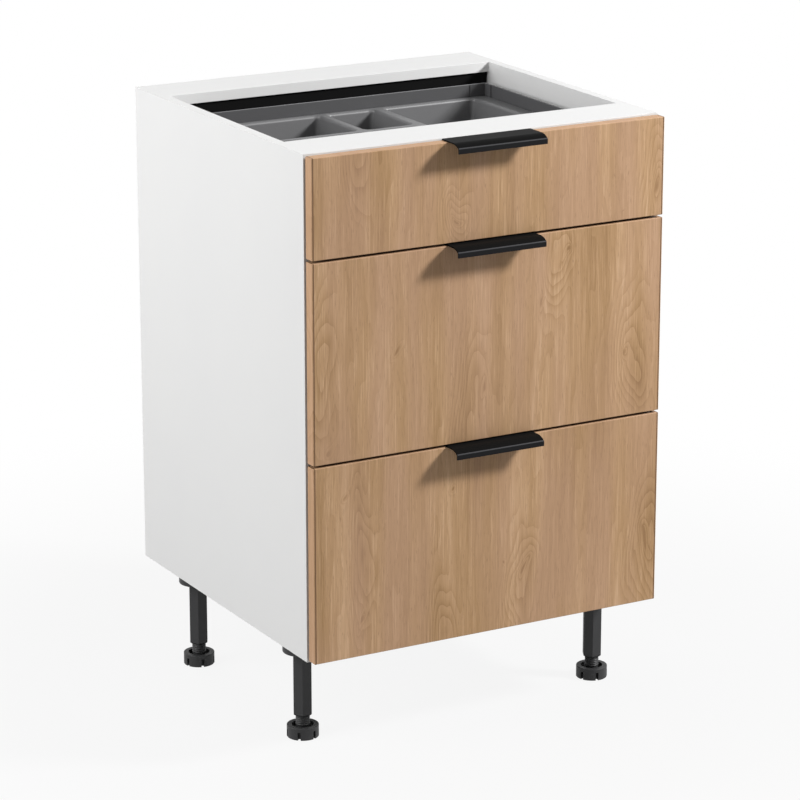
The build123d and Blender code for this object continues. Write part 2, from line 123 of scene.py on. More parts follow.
# %% [markdown]
# ## Materials as graphs of nodes
# In Blender's editor one adds a node, types its values and drags its links. One function does these three
# things here, so each material below reads like that work. Where a whole node is given as an input, its
# first output is taken.
# Colours are written as sRGB hex, as they are read from a picture, and turned to linear light in one place.

# %% Helpers for materials
def linear(hex_colour):
    """Linear RGBA of an sRGB hex colour."""
    parts = [int(hex_colour[i:i + 2], 16) / 255 for i in (1, 3, 5)]
    return [p / 12.92 if p <= 0.04045 else ((p + 0.055) / 1.055) ** 2.4 for p in parts] + [1.0]


def connect(tree, node, inputs):
    """Set a node's inputs: a node or a socket is linked, any other value is typed in."""
    for name, value in inputs.items():
        if isinstance(value, bpy.types.Node):
            value = next(output for output in value.outputs if output.enabled)
        if isinstance(value, bpy.types.NodeSocket):
            tree.links.new(value, node.inputs[name])
        else:
            node.inputs[name].default_value = value


def add(tree, kind, inputs=None, **settings):
    """Add a node: settings are its properties, inputs are values, nodes or sockets to link."""
    node = tree.nodes.new(kind)
    for name, value in settings.items():
        setattr(node, name, value)
    connect(tree, node, inputs or {})
    return node


def new_material(name):
    """An empty material: returns it with its tree, its shader and its object coordinates."""
    material = bpy.data.materials.new(name)
    material.use_nodes = True
    tree = material.node_tree
    tree.nodes.clear()
    shader = add(tree, "ShaderNodeBsdfPrincipled")
    add(tree, "ShaderNodeOutputMaterial", {"Surface": shader})
    place = add(tree, "ShaderNodeTexCoord").outputs["Object"]
    return material, tree, shader, place


print("a middle grey, #808080, is", round(linear("#808080")[0], 3), "in linear light")


# %% [markdown]
# ## White background
# More light would make the floor white but wash out the cabinet. So the world and the floor are white by
# themselves, only where the camera looks at them, and the lamps keep a plain level.
# Near the cabinet the floor keeps part of its shading, so that the shadow stays, and further off it fades.

# %% World
def looked_at(tree):
    """1 where the camera looks, also in a reflection or through a clear material, and 0 for other light."""
    rays = add(tree, "ShaderNodeLightPath").outputs
    seen = add(tree, "ShaderNodeMath", {0: rays["Is Camera Ray"], 1: rays["Is Transmission Ray"]},
               operation="MAXIMUM")
    return add(tree, "ShaderNodeMath", {0: seen, 1: rays["Is Glossy Ray"]}, operation="MAXIMUM")


PURE_WHITE = (1.0, 1.0, 1.0, 1.0)
WORLD_LEVEL = 0.16
world = bpy.data.worlds.new("studio")
scene.world = world
world.use_nodes = True
tree = world.node_tree
tree.nodes.clear()
level = add(tree, "ShaderNodeMix", {"Factor": looked_at(tree), "A": WORLD_LEVEL, "B": 1.0})
sky = add(tree, "ShaderNodeBackground", {"Color": PURE_WHITE, "Strength": level})
add(tree, "ShaderNodeOutputWorld", {"Surface": sky})
scene.view_settings.view_transform = "Standard"
print("the world lights at", WORLD_LEVEL)


# %% Floor
def begin():
    """Leave nothing selected, so that operators act on the new piece alone."""
    bpy.ops.object.select_all(action="DESELECT")


FLOOR_SIZE = 40.0
FADE_START = 0.5
FADE_END = 1.5
WHITE_AT_START = 0.89
begin()
bpy.ops.mesh.primitive_plane_add(size=FLOOR_SIZE)
floor = bpy.context.object
floor.name = "studio_floor"
paper, tree, shader, place = new_material("studio_paper")
connect(tree, shader, {"Base Color": linear("#AEAEAE"), "Roughness": 0.9, "Specular IOR Level": 0.0})
far = add(tree, "ShaderNodeVectorMath", {0: place}, operation="LENGTH").outputs["Value"]
white_share = add(tree, "ShaderNodeMapRange", {
    "Value": far, "From Min": FADE_START, "From Max": FADE_END, "To Min": WHITE_AT_START, "To Max": 1.0,
}, interpolation_type="SMOOTHSTEP")
seen = add(tree, "ShaderNodeMath", {0: looked_at(tree), 1: white_share}, operation="MULTIPLY")
glow = add(tree, "ShaderNodeEmission", {"Color": PURE_WHITE, "Strength": 1.0})
mixed = add(tree, "ShaderNodeMixShader", {0: seen, 1: shader, 2: glow})
connect(tree, tree.nodes["Material Output"], {"Surface": mixed})
floor.data.materials.append(paper)
print("floor of", round(floor.dimensions.x), "m")

# %% [markdown]
# ## Oak decor on the drawer fronts
# The fronts are boards covered with a printed oak foil, grain upright, with edge bands of the same print.
# Close up, the print shows planks cut lengthwise through a log: nested arches where the cut skims the rings,
# small knots that push the lines aside, straight lines between them, soft bands, fine streaks and pores.
# A wave texture would only give even stripes. Here the ring lines are level lines, as on a map: a slope
# across the front draws straight ones, each arch is a long hill on it, each knot a small steep one, and noise
# bends them all. Every front takes another stretch of the print, so that no two are alike.

# %% Where each front's print begins
FRONT_SHIFT = (410.0, 0.0, 1000.0)
EDGE_SLANT = 0.7
oak, tree, shader, place = new_material("oak_decor_foil")
front_boxes = [[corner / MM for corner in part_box(f"{name}_drawer_front")] for name in reversed(drawer_names)]
in_mm = add(tree, "ShaderNodeVectorMath", {0: place, 1: (1 / MM, 1 / MM, 1 / MM)}, operation="MULTIPLY")
axes = add(tree, "ShaderNodeSeparateXYZ", {0: in_mm}).outputs
depth = add(tree, "ShaderNodeMath", {0: axes["Y"], 1: front_boxes[0][0].y}, operation="SUBTRACT")
across = add(tree, "ShaderNodeMath", {0: depth, 1: EDGE_SLANT, 2: axes["X"]}, operation="MULTIPLY_ADD")
print_mm = add(tree, "ShaderNodeCombineXYZ", {"X": across, "Z": axes["Z"]})
for lower, upper in zip(front_boxes, front_boxes[1:]):
    gap = (lower[1].z + upper[0].z) / 2
    above = add(tree, "ShaderNodeMath", {0: axes["Z"], 1: gap}, operation="GREATER_THAN")
    print_mm = add(tree, "ShaderNodeVectorMath", {0: above, 1: FRONT_SHIFT, 2: print_mm},
                   operation="MULTIPLY_ADD")
    print("a new stretch of print begins at", round(gap, 1), "mm")


# %% [markdown]
# The grain is noise, stretched along the boards and given in millimetres. Pores and fine streaks are drawn
# about three times as wide as they are, so that they show. The streaks push the finest noises along by
# different lengths, so that their lines end at different heights.

# %% Grain noise
def grain(tree, place, width, length, detail=2.0):
    """Noise of a grain width and length in the units of its coordinates, around a half."""
    stretched = add(tree, "ShaderNodeMapping", {"Vector": place, "Scale": (1 / width, 1 / width, 1 / length)})
    return add(tree, "ShaderNodeTexNoise", {
        "Vector": stretched, "Scale": 1.0, "Detail": detail, "Roughness": 0.5,
    })


STREAK_PUSH = (0.0, 0.0, 260.0)
wander = grain(tree, print_mm, width=70, length=360, detail=1.0)
quiver = grain(tree, print_mm, width=13, length=60, detail=1.0)
streak = grain(tree, print_mm, width=6, length=300)
loose = add(tree, "ShaderNodeVectorMath", {0: streak, 1: STREAK_PUSH, 2: print_mm}, operation="MULTIPLY_ADD")
fine = grain(tree, loose, width=1.5, length=70)
pale = grain(tree, loose, width=2.2, length=85, detail=1.0)
pore = grain(tree, loose, width=1.0, length=13, detail=0.0)
band = grain(tree, print_mm, width=27, length=900, detail=1.0)
patch = grain(tree, print_mm, width=90, length=300, detail=1.0)
tint = grain(tree, print_mm, width=60, length=500, detail=1.0)
print("noises in the grain:", sum(node.type == "TEX_NOISE" for node in tree.nodes))

# %% [markdown]
# The arches and knots are listed one by one, as a printer sets out a decor: front counted from the bottom,
# millimetres to the right of the middle, millimetres above the lower edge, half width and half length.
# Chance could scatter them, but then they would crowd in places and leave others bare.

# %% Arches and knots
ARCHES = (
    (0, -222, 150, 36, 170), (0, -80, 20, 40, 160), (0, 52, 70, 44, 130), (0, 282, 80, 52, 130),
    (1, -292, 150, 50, 190), (1, -34, 20, 52, 240), (1, 110, 250, 42, 110), (1, 243, 95, 52, 150),
    (2, -222, 165, 46, 130), (2, -60, 36, 42, 100), (2, 288, 20, 48, 120),
)
KNOTS = (
    (0, -248, 236, 12, 15), (0, -222, 54, 11, 14), (0, -68, 232, 12, 15), (0, 20, 112, 9, 12),
    (0, 56, 92, 15, 19), (0, 275, 88, 19, 24),
    (1, -262, 14, 14, 18), (1, -163, 155, 10, 13), (1, -12, 76, 10, 14), (1, 86, 213, 12, 15),
    (1, 126, 246, 14, 16), (1, 236, 108, 16, 20),
    (2, -58, 34, 14, 18), (2, 226, 20, 6, 8), (2, 288, 52, 16, 20),
)
print("oak print:", len(ARCHES), "arches and", len(KNOTS), "knots")

# %% [markdown]
# Each one is a smooth hill, and the hills are added up. A slow noise moves their outlines, because an even
# oval would look drawn.

# %% Hills
SWAY_REACH = (45.0, 0.0, 150.0)
NOISE_MIDDLE = (0.5, 0.5, 0.5)
sway = grain(tree, print_mm, width=55, length=170, detail=1.0).outputs["Color"]
sway = add(tree, "ShaderNodeVectorMath", {0: sway, 1: NOISE_MIDDLE}, operation="SUBTRACT")
bent = add(tree, "ShaderNodeVectorMath", {0: sway, 1: SWAY_REACH, 2: print_mm}, operation="MULTIPLY_ADD")


def hills(tree, ground, places):
    """The sum of smooth hills, each one high in its middle and nothing at its rim."""
    total = 0.0
    for front, right, up, half_width, half_length in places:
        middle = (right + front * FRONT_SHIFT[0], 0.0,
                  front_boxes[front][0].z + up + front * FRONT_SHIFT[2])
        share = (1 / half_width, 0.0, 1 / half_length)
        offset = [-m * s for m, s in zip(middle, share)]
        away = add(tree, "ShaderNodeVectorMath", {0: ground, 1: share, 2: offset}, operation="MULTIPLY_ADD")
        away = add(tree, "ShaderNodeVectorMath", {0: away}, operation="LENGTH").outputs["Value"]
        hill = add(tree, "ShaderNodeMapRange", {"Value": away, "From Min": 1.0, "From Max": 0.0},
                   interpolation_type="SMOOTHSTEP")
        total = add(tree, "ShaderNodeMath", {0: hill, 1: total}, operation="ADD")
    return total


arch = hills(tree, bent, ARCHES)
knot = hills(tree, bent, KNOTS)
print("hills:", len(tree.nodes), "nodes so far")

# %% [markdown]
# The level lines are counted in rings. The fraction of the count rises slowly and drops at once, as summer
# wood darkens towards the end of the year. The lines are plain on the arches and fainter between them.

# %% Rings
STRAIGHT_RING = 19.0
SUMMER_BEND = 2.3
BETWEEN_ARCHES = 0.48
slope = add(tree, "ShaderNodeSeparateXYZ", {0: print_mm}).outputs["X"]
rings = 0.0
for part, count in ((slope, 1 / STRAIGHT_RING), (wander, 5.0), (quiver, 1.0), (arch, 4.6), (knot, 1.8)):
    rings = add(tree, "ShaderNodeMath", {0: part, 1: count, 2: rings}, operation="MULTIPLY_ADD")
summer = add(tree, "ShaderNodeMath", {0: rings}, operation="FRACT")
summer = add(tree, "ShaderNodeMath", {0: summer, 1: SUMMER_BEND}, operation="POWER")
shown = add(tree, "ShaderNodeMapRange", {
    "Value": arch, "From Min": 0.0, "From Max": 0.5, "To Min": BETWEEN_ARCHES,
})
summer = add(tree, "ShaderNodeMath", {0: summer, 1: shown}, operation="MULTIPLY")
print("rings: one in", STRAIGHT_RING, "mm on the straight grain")

# %% [markdown]
# All of it is one tone from dark to light, and a ramp turns the tone into the print's four browns. That keeps
# the colours together, where a colour for each noise would turn muddy. A slow noise moves the browns between
# yellowish and pinkish, as between neighbouring planks. Pores are darker dashes.

# %% Tone and browns
BROWNS = {0.15: "#997651", 0.38: "#AF8B63", 0.58: "#BE9973", 0.85: "#D4B08C"}
pale = add(tree, "ShaderNodeMapRange", {"Value": pale, "From Min": 0.53, "From Max": 0.70})
eye = add(tree, "ShaderNodeMapRange", {"Value": knot, "From Min": 0.78, "From Max": 1.0})
noises = ((fine, 0.19), (streak, 0.24), (band, 0.55), (patch, 0.50))
marks = ((pale, 0.22), (summer, -0.26), (knot, -0.07), (eye, -0.36))
tone = 0.5 - 0.5 * sum(weight for part, weight in noises)
for part, weight in noises + marks:
    tone = add(tree, "ShaderNodeMath", {0: part, 1: weight, 2: tone}, operation="MULTIPLY_ADD")
browns = add(tree, "ShaderNodeValToRGB", {"Fac": tone})
ramp = browns.color_ramp.elements
for position, colour in BROWNS.items():
    ramp.new(position).color = linear(colour)
ramp.remove(ramp[0])
ramp.remove(ramp[len(ramp) - 1])
pinkish = add(tree, "ShaderNodeMix", {"Factor": 0.40, "A": browns, "B": linear("#BD9880")}, data_type="RGBA")
warmth = add(tree, "ShaderNodeMapRange", {"Value": tint, "From Min": 0.40, "From Max": 0.62})
planks = add(tree, "ShaderNodeMix", {"Factor": warmth, "A": browns, "B": pinkish}, data_type="RGBA")
pits = add(tree, "ShaderNodeMapRange", {"Value": pore, "From Min": 0.62, "From Max": 0.74, "To Max": 0.35})
print_colour = add(tree, "ShaderNodeMix", {"Factor": pits, "A": planks, "B": linear("#7E6043")},
                   data_type="RGBA")
print("browns from", len(noises + marks), "parts at", [round(step.position, 2) for step in ramp])

# %% [markdown]
# The edge bands are a little lighter, and a dark glue line shows beside the upright edges. The lower edges
# are painted dark brown as painted shade, so that the gaps between the fronts, which lie in shade, stay dark
# lines.
# The edges are told apart by their normal and their place, because each front is one solid.

# %% Edges of the fronts
GLUE_INSET = 2.2
GLUE_HALF_WIDTH = 0.9
facing = add(tree, "ShaderNodeNewGeometry").outputs["Normal"]
facing = add(tree, "ShaderNodeSeparateXYZ", {0: facing}).outputs
forward = add(tree, "ShaderNodeMath", {0: facing["Y"]}, operation="ABSOLUTE")
edge = add(tree, "ShaderNodeMapRange", {"Value": forward, "From Min": 0.95, "From Max": 0.60, "To Max": 0.45})
side = add(tree, "ShaderNodeMath", {0: axes["X"]}, operation="ABSOLUTE")
front_half = front_boxes[0][1].x
glue = add(tree, "ShaderNodeMath", {0: side, 1: front_half - GLUE_INSET, 2: GLUE_HALF_WIDTH},
           operation="COMPARE")
# Painted shade: the downward-facing edges are coloured dark brown, so the gaps between the fronts look shaded.
below = add(tree, "ShaderNodeMath", {0: facing["Z"], 1: -0.8}, operation="LESS_THAN")
bands = ((edge, "#C89E7E"), (glue, "#6E5138"), (below, "#3B2B20"))
for where, colour in bands:
    print_colour = add(tree, "ShaderNodeMix", {"Factor": where, "A": print_colour, "B": linear(colour)},
                       data_type="RGBA")
print("edges of the fronts:", len(bands), "bands")


# %% [markdown]
# The foil is matt and pressed with fine pores, so its gloss is broken up lengthwise. The same noises that
# colour the print give its relief, so that pores and colour stay together.

# %% Surface of the foil
def dress(material, *names):
    """Give a material to CAD nodes."""
    for name in names:
        nodes[name].data.materials.clear()
        nodes[name].data.materials.append(material)
    print(material.name, "on", len(names), "nodes")


PORE_DEPTH = 0.15 * MM
gloss = add(tree, "ShaderNodeMapRange", {"Value": fine, "To Min": 0.62, "To Max": 0.46})
relief = add(tree, "ShaderNodeBump", {"Height": fine, "Strength": 0.10, "Distance": PORE_DEPTH})
relief = add(tree, "ShaderNodeBump", {
    "Height": pits, "Strength": 0.2, "Distance": PORE_DEPTH, "Normal": relief,
}, invert=True)
connect(tree, shader, {"Base Color": print_colour, "Roughness": gloss, "Normal": relief,
                       "Specular IOR Level": 0.3})
dress(oak, *[f"{name}_drawer_front" for name in drawer_names])

# %% [markdown]
# ## White melamine on the carcass
# The carcass is particle board faced with paper that is soaked in melamine resin and pressed against a satin
# plate. It is plain white, with a hardly visible orange-peel surface that softens its reflections. Edges that
# are seen have a white band. The rear edges, towards the wall, are left bare and show the pressed chips.
# The chips could be a second material on those faces, but the solids' faces stay as they are, so the place
# decides: what lies at the very back is bare.

# %% White melamine
BARE_DEPTH = 0.3 * MM
BARE_ROUGHER = 0.4
white, tree, shader, place = new_material("satin_white_melamine")
peel = add(tree, "ShaderNodeTexNoise", {"Vector": place, "Scale": 1 / (0.9 * MM), "Detail": 1.0})
cloud = add(tree, "ShaderNodeTexNoise", {"Vector": place, "Scale": 1 / (160 * MM), "Detail": 2.0})
shade = add(tree, "ShaderNodeMix", {"Factor": cloud, "A": linear("#E1E1E1"), "B": linear("#E5E5E4")},
            data_type="RGBA")
chips = add(tree, "ShaderNodeTexVoronoi", {"Vector": place, "Scale": 1 / (2.4 * MM)}).outputs["Color"]
chips = add(tree, "ShaderNodeSeparateXYZ", {0: chips}).outputs["X"]
chips = add(tree, "ShaderNodeMix", {"Factor": chips, "A": linear("#A07C50"), "B": linear("#DDC399")},
            data_type="RGBA")
depth = add(tree, "ShaderNodeSeparateXYZ", {0: place}).outputs["Y"]
bare = add(tree, "ShaderNodeMath", {0: depth, 1: cad_high.y - BARE_DEPTH}, operation="GREATER_THAN")
shade = add(tree, "ShaderNodeMix", {"Factor": bare, "A": shade, "B": chips}, data_type="RGBA")
gloss = add(tree, "ShaderNodeMapRange", {"Value": cloud, "To Min": 0.40, "To Max": 0.48})
gloss = add(tree, "ShaderNodeMath", {0: bare, 1: BARE_ROUGHER, 2: gloss}, operation="MULTIPLY_ADD")
relief = add(tree, "ShaderNodeBump", {"Height": peel, "Strength": 0.05, "Distance": 0.05 * MM})
connect(tree, shader, {"Base Color": shade, "Roughness": gloss, "Normal": relief})
dress(white, "left_side_panel", "right_side_panel", "bottom_panel", "front_top_rail", "rear_top_rail")

# %% [markdown]
# ## Hardboard back
# A thin board of pressed fibres: near black on the inner face, bare brown fibres towards the wall.
# The bundles of fibres are drawn about three times as coarse as they are, so that they show. The two faces
# are told apart by their place, because the board is one solid.

# %% Hardboard
hardboard, tree, shader, place = new_material("dark_faced_hardboard")
back_low, back_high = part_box("back_panel")
depth = add(tree, "ShaderNodeSeparateXYZ", {"Vector": place}).outputs["Y"]
outer = add(tree, "ShaderNodeMath", {0: depth, 1: (back_low.y + back_high.y) / 2}, operation="GREATER_THAN")
fibres = add(tree, "ShaderNodeTexNoise", {
    "Vector": place, "Scale": 1 / (6 * MM), "Detail": 5.0, "Roughness": 0.7,
})
mottle = add(tree, "ShaderNodeTexNoise", {"Vector": place, "Scale": 1 / (45 * MM), "Detail": 3.0})
bare = add(tree, "ShaderNodeMix", {"Factor": fibres, "A": linear("#6B4E38"), "B": linear("#A8835C")},
           data_type="RGBA")
clouds = add(tree, "ShaderNodeMapRange", {"Value": mottle, "From Min": 0.3, "From Max": 0.75, "To Max": 0.25})
bare = add(tree, "ShaderNodeMix", {"Factor": clouds, "A": bare, "B": linear("#57402E")}, data_type="RGBA")
# The inner face is drawn near black.
near_black_inner = add(tree, "ShaderNodeMix", {"Factor": mottle, "A": linear("#040404"), "B": linear("#0B0B0C")},
              data_type="RGBA")
faces = add(tree, "ShaderNodeMix", {"Factor": outer, "A": near_black_inner, "B": bare}, data_type="RGBA")
relief = add(tree, "ShaderNodeBump", {"Height": fibres, "Strength": 0.15, "Distance": 0.2 * MM})
connect(tree, shader, {"Base Color": faces, "Normal": relief, "Roughness": 0.72, "Specular IOR Level": 0.1})
dress(hardboard, "back_panel")

# %% [markdown]
# ## Black powder coat on the edge pulls
# Bent aluminium plate with a baked coat of fine black powder, which swallows light. The forward-facing nose of
# the pull is painted a little paler, as painted light, and a painted highlight runs as a fine line along its
# bend.
# The line could be a thin extra piece, but then it would have to follow the bend. Here the nose is told apart
# by its direction: nothing else in view on the pull faces forward.
# Powder coats and moulded plastics have the same kind of surface, a fine grit that breaks up colour, gloss
# and relief together. One function makes it for all of them. The grit is drawn a few times as coarse as it
# is, so that it shows.

# %% Black powder coat
GRIT_DEPTH = 0.1 * MM


def gritty(name, size, dark, light, roughness, strength):
    """A finish with grit of a size: returns the material with its tree, its shader and its shade."""
    material, tree, shader, place = new_material(name)
    grit = add(tree, "ShaderNodeTexNoise", {"Vector": place, "Scale": 1 / size, "Detail": 2.0})
    shade = add(tree, "ShaderNodeMix", {"Factor": grit, "A": linear(dark), "B": linear(light)},
                data_type="RGBA")
    smoothest, roughest = roughness
    gloss = add(tree, "ShaderNodeMapRange", {"Value": grit, "To Min": smoothest, "To Max": roughest})
    relief = add(tree, "ShaderNodeBump", {"Height": grit, "Strength": strength, "Distance": GRIT_DEPTH})
    connect(tree, shader, {"Base Color": shade, "Roughness": gloss, "Normal": relief})
    return material, tree, shader, shade


coat, tree, shader, shade = gritty("black_powder_coat", size=0.5 * MM, dark="#131313", light="#1B1B1B",
                                   roughness=(0.32, 0.44), strength=0.15)
facing = add(tree, "ShaderNodeNewGeometry").outputs["Normal"]
facing = add(tree, "ShaderNodeSeparateXYZ", {0: facing}).outputs["Y"]
# Painted light: the forward-facing nose is lightened, and a painted highlight line runs along its bend.
painted_nose_light = add(tree, "ShaderNodeMapRange", {"Value": facing, "From Min": -0.62, "From Max": -0.90})
shade = add(tree, "ShaderNodeMix", {"Factor": painted_nose_light, "A": shade, "B": linear("#262627")}, data_type="RGBA")
painted_bend_highlight = add(tree, "ShaderNodeMath", {0: facing, 1: -0.80, 2: 0.13}, operation="COMPARE")
shade = add(tree, "ShaderNodeMix", {"Factor": painted_bend_highlight, "A": shade, "B": linear("#4A4A4C")}, data_type="RGBA")
connect(tree, shader, {"Base Color": shade, "Specular IOR Level": 0.006})
dress(coat, *[f"{name}_drawer_handle" for name in drawer_names])

# %% [markdown]
# ## Grey powder coat on the drawer boxes
# The walls of the drawers are folded steel sheet with a fine-textured dark grey coat. The narrow upper edges
# are painted paler, a painted highlight for rounded hems catching the light. Those edges could get a material
# of their own, but the upward normal finds them on every wall.

# %% Grey powder coat
steel, tree, shader, shade = gritty("grey_powder_coat", size=0.7 * MM, dark="#4A4A4B", light="#545456",
                                    roughness=(0.40, 0.52), strength=0.10)
facing = add(tree, "ShaderNodeNewGeometry").outputs["Normal"]
facing = add(tree, "ShaderNodeSeparateXYZ", {0: facing}).outputs["Z"]
# Painted highlight: the upward-facing top edges of the walls are coloured paler.
upper = add(tree, "ShaderNodeMapRange", {"Value": facing, "From Min": 0.70, "From Max": 0.95, "To Max": 0.8})
shade = add(tree, "ShaderNodeMix", {"Factor": upper, "A": shade, "B": linear("#8C8C8E")}, data_type="RGBA")
connect(tree, shader, {"Base Color": shade})
box_parts = ("left_side", "right_side", "back", "brackets")
dress(steel, *[f"{name}_drawer_{part}" for name in drawer_names for part in box_parts],
      "middle_drawer_gallery_rails", "bottom_drawer_gallery_rails")

# %% [markdown]
# ## Zinc on runners and fittings
# Runners, screws and cams are steel with a thin bright zinc layer. The runners are rolled, which leaves fine
# lines along their length, and the passivated zinc is faintly bluish in patches. The shader's anisotropy
# would blur the reflections across such lines, but it shows no lines close up. So a stretched noise draws
# them, a few times as wide as they are.

# %% Zinc plating
ROLLED_LINE = Vector((0.6, 60.0, 0.6)) * MM
zinc, tree, shader, place = new_material("zinc_plated_steel")
rolled = add(tree, "ShaderNodeMapping", {"Vector": place, "Scale": [1 / size for size in ROLLED_LINE]})
rolled = add(tree, "ShaderNodeTexNoise", {"Vector": rolled, "Scale": 1.0, "Detail": 2.0})
patch = add(tree, "ShaderNodeTexNoise", {"Vector": place, "Scale": 1 / (18 * MM), "Detail": 2.0})
shade = add(tree, "ShaderNodeMix", {"Factor": patch, "A": linear("#B4B8BE"), "B": linear("#C6C6C2")},
            data_type="RGBA")
gloss = add(tree, "ShaderNodeMapRange", {"Value": rolled, "To Min": 0.24, "To Max": 0.42})
relief = add(tree, "ShaderNodeBump", {"Height": rolled, "Strength": 0.06, "Distance": 0.05 * MM})
connect(tree, shader, {"Base Color": shade, "Roughness": gloss, "Normal": relief, "Metallic": 1.0})
runner_parts = ("cabinet_runners", "middle_runners", "drawer_runners")
dress(zinc, "cam_bolts", "cam_locks", "runner_screws", *[f"{name}_drawer_screws" for name in drawer_names],
      *[f"{name}_{part}" for name in drawer_names for part in runner_parts])

# %% [markdown]
# ## Moulded plastics
# The legs are black polypropylene from a spark-eroded mould, which gives a fine matt grain. The tray is grey
# polystyrene, smoother, so its edges and corners catch light. Both take the grit of the powder coats, with
# their own colours and gloss, because the mould leaves the same kind of surface.

# %% Black legs
corners = ("front_left", "front_right", "rear_left", "rear_right")
leg_plastic, tree, shader, shade = gritty("black_moulded_polypropylene", size=0.8 * MM, dark="#2F2F30",
                                          light="#39393A", roughness=(0.46, 0.58), strength=0.12)
connect(tree, shader, {"Specular IOR Level": 0.3})
dress(leg_plastic, "leg_sockets", *[f"leg_tube_{c}" for c in corners], *[f"foot_{c}" for c in corners])

# %% Grey tray
tray_plastic = gritty("grey_moulded_polystyrene", size=1.0 * MM, dark="#69696A", light="#737374",
                      roughness=(0.34, 0.46), strength=0.08)[0]
dress(tray_plastic, "cutlery_tray")

# %% [markdown]
# Small soft bumpers behind the fronts are cast from clear silicone. Fully clear ones would look like glass,
# so only part of the light goes through, and a faint cloud lies in them.

# %% Clear bumpers
silicone, tree, shader, place = new_material("clear_silicone")
cloudy = add(tree, "ShaderNodeTexNoise", {"Vector": place, "Scale": 1 / (3 * MM), "Detail": 1.0})
shade = add(tree, "ShaderNodeMix", {"Factor": cloudy, "A": linear("#DEDEDA"), "B": linear("#EAEAE6")},
            data_type="RGBA")
gloss = add(tree, "ShaderNodeMapRange", {"Value": cloudy, "To Min": 0.18, "To Max": 0.32})
connect(tree, shader, {"Base Color": shade, "Roughness": gloss, "Transmission Weight": 0.6, "IOR": 1.41})
dress(silicone, *[f"{name}_drawer_bumpers" for name in drawer_names])

# %% [markdown]
# ## Boards and dowels inside
# The drawer floors are particle board with a grey facing that is pressed like linen. Two noises, stretched
# across each other, make its uneven threads, where a checker would look woven by a machine. The dowels are
# turned beech, with the grain along their length.

# %% Grey linen facing
THREAD = 0.8 * MM
THREAD_RUN = 7 * MM
linen, tree, shader, place = new_material("grey_linen_melamine")
warp = add(tree, "ShaderNodeMapping", {"Vector": place, "Scale": (1 / THREAD, 1 / THREAD_RUN, 1.0)})
weft = add(tree, "ShaderNodeMapping", {"Vector": place, "Scale": (1 / THREAD_RUN, 1 / THREAD, 1.0)})
warp = add(tree, "ShaderNodeTexNoise", {"Vector": warp, "Scale": 1.0, "Detail": 1.0})
weft = add(tree, "ShaderNodeTexNoise", {"Vector": weft, "Scale": 1.0, "Detail": 1.0})
threads = add(tree, "ShaderNodeMath", {0: warp, 1: weft}, operation="MAXIMUM")
shade = add(tree, "ShaderNodeMapRange", {"Value": threads, "From Min": 0.4, "From Max": 0.75})
shade = add(tree, "ShaderNodeMix", {"Factor": shade, "A": linear("#8B8C8F"), "B": linear("#A0A1A3")},
            data_type="RGBA")
relief = add(tree, "ShaderNodeBump", {"Height": threads, "Strength": 0.12, "Distance": 0.1 * MM})
connect(tree, shader, {"Base Color": shade, "Normal": relief, "Roughness": 0.5})
dress(linen, *[f"{name}_drawer_floor" for name in drawer_names])

# %% Beech dowels
BEECH_FIBRE = Vector((12.0, 0.7, 0.7)) * MM
beech, tree, shader, place = new_material("turned_beech")
fibre = add(tree, "ShaderNodeMapping", {"Vector": place, "Scale": [1 / size for size in BEECH_FIBRE]})
fibre = add(tree, "ShaderNodeTexNoise", {"Vector": fibre, "Scale": 1.0, "Detail": 2.0})
shade = add(tree, "ShaderNodeMix", {"Factor": fibre, "A": linear("#B08559"), "B": linear("#CDA679")},
            data_type="RGBA")
connect(tree, shader, {"Base Color": shade, "Roughness": 0.65})
dress(beech, "panel_dowels")

# %% [markdown]
# ## Small pieces made by hand
# The solids have plain screws and plain bars for the ball rows. Close up, with a drawer open, the real ones
# show cross recesses, balls in their cages, rivets and end stops. Each is modelled once at the origin, then
# copied. Everything is deselected before a piece is begun, and faces and edges are picked by their place or
# their normal, because there is no mouse to pick them with.

# %% Helpers for modelling
FLAT = 0.99
NEAR = 0.01 * MM


def pick(piece, mode, test):
    """In edit mode, select only the edges or faces that pass a test."""
    bpy.ops.mesh.select_mode(type=mode)
    bpy.ops.mesh.select_all(action="DESELECT")
    mesh = bmesh.from_edit_mesh(piece.data)
    for part in mesh.edges if mode == "EDGE" else mesh.faces:
        part.select_set(test(part))
    bmesh.update_edit_mesh(piece.data)


def faces_down(face):
    return face.normal.z < -FLAT


def pull(z):
    """Extrude what is selected along Z."""
    bpy.ops.mesh.extrude_region_move(TRANSFORM_OT_translate={"value": (0.0, 0.0, z)})


def apply_modifier(piece, kind, **settings):
    """Add a modifier to a piece and apply it at once."""
    modifier = piece.modifiers.new(kind.lower(), kind)
    for name, value in settings.items():
        setattr(modifier, name, value)
    bpy.context.view_layer.objects.active = piece
    bpy.ops.object.modifier_apply(modifier=modifier.name)


# %% [markdown]
# ### Cross-recessed screws
# A screw head is turned, then a punch presses the cross into it. Here a cylinder gets its rounded rim by a
# bevel, and the shank and tip are extruded from its lower face. The handle screws have countersunk heads, so
# they start from a cone. A screw could also be spun from its outline, but these steps are fewer.

# %% Turned screws
HEAD_RADIUS = 3.4 * MM
HEAD_HEIGHT = 1.6 * MM
HEAD_ROUND = 0.8 * MM
SINK_DEPTH = 2.0 * MM
SHANK_RADIUS = 1.8 * MM
SHANK_LENGTH = 10.0 * MM
TIP_LENGTH = 3.0 * MM
TIP_SHARE = 0.25
HEAD_SIDES = 24


